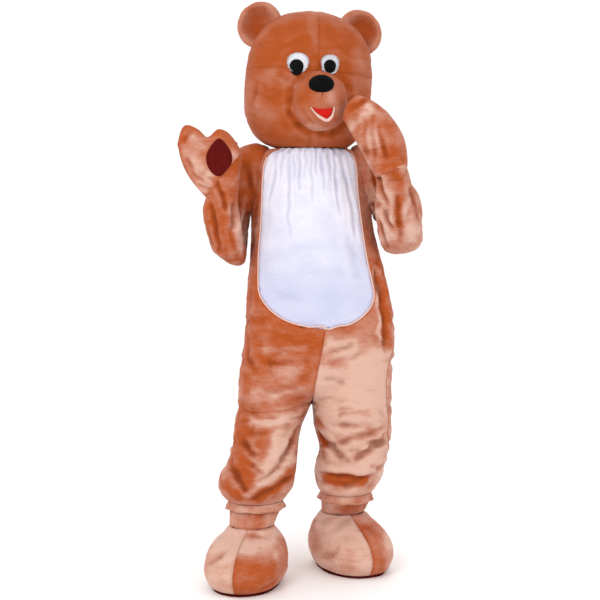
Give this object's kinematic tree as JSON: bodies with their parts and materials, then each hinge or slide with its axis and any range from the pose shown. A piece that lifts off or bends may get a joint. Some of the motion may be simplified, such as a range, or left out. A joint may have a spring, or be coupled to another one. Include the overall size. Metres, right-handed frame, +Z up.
{
  "type": "bear mascot costume",
  "caption": "Worn plush mascot costume of a brown bear: jumpsuit with gathered white belly panel, hollow head, padded-palm mitts and boots",
  "frame": {"origin": "in the middle of the neckline between the wearer's shoulders, where the costume hangs from the wearer", "axes": "+X the wearer's left, -Y the wearer's front, +Z up"},
  "size_m": [0.7908, 0.6451, 1.8668],
  "materials": {
    "bear_plush": "short glossy orange-brown plush with a pale sheen across the nap",
    "pale_plush": "the same plush seen against the nap, paler",
    "white_plush": "short white plush with a faint lavender shade",
    "maroon_felt": "dark maroon felted cloth",
    "black_plush": "short glossy black plush",
    "red_felt": "bright red felt",
    "pink_felt": "pinkish white piping",
    "zip_metal": "worn dull brass"
  },
  "bodies": {
    "suit": {"belly_panel": "white_plush", "zip_tape": "bear_plush", "zip_slider": "zip_metal", "front_right": "bear_plush", "back_right": "bear_plush", "sleeve_right": "bear_plush", "mitt_palm_right": "bear_plush", "mitt_back_right": "bear_plush", "boot_inner_right": "bear_plush", "leg_hem_right": "pale_plush", "boot_shaft_right": "pale_plush", "boot_outer_right": "pale_plush", "palm_pad_right": "maroon_felt", "boot_sole_right": "maroon_felt", "front_left": "bear_plush", "back_left": "bear_plush", "sleeve_left": "bear_plush", "mitt_palm_left": "bear_plush", "mitt_back_left": "bear_plush", "boot_inner_left": "bear_plush", "leg_hem_left": "pale_plush", "boot_shaft_left": "pale_plush", "boot_outer_left": "pale_plush", "palm_pad_left": "maroon_felt", "boot_sole_left": "maroon_felt"},
    "head": {"muzzle": "bear_plush", "nose": "black_plush", "mouth": "red_felt", "lip": "pink_felt", "head_top_right": "bear_plush", "head_lower_right": "bear_plush", "ear_right": "bear_plush", "eye_white_right": "white_plush", "pupil_right": "black_plush", "head_top_left": "bear_plush", "head_lower_left": "bear_plush", "ear_left": "bear_plush", "eye_white_left": "white_plush", "pupil_left": "black_plush"},
    "zip_pull": {"zip_pull": "zip_metal"}
  },
  "joints": [
    {"name": "head_lift", "type": "slide", "parent": "suit", "child": "head", "axis": [0, 0, 1], "range_m": [0, 0.45]},
    {"name": "zip_pull_flip", "type": "hinge", "parent": "suit", "child": "zip_pull", "pos_m": [0, 0.1318, -0.0438], "axis": [1, 0, 0], "range_deg": [0, 110]}
  ]
}
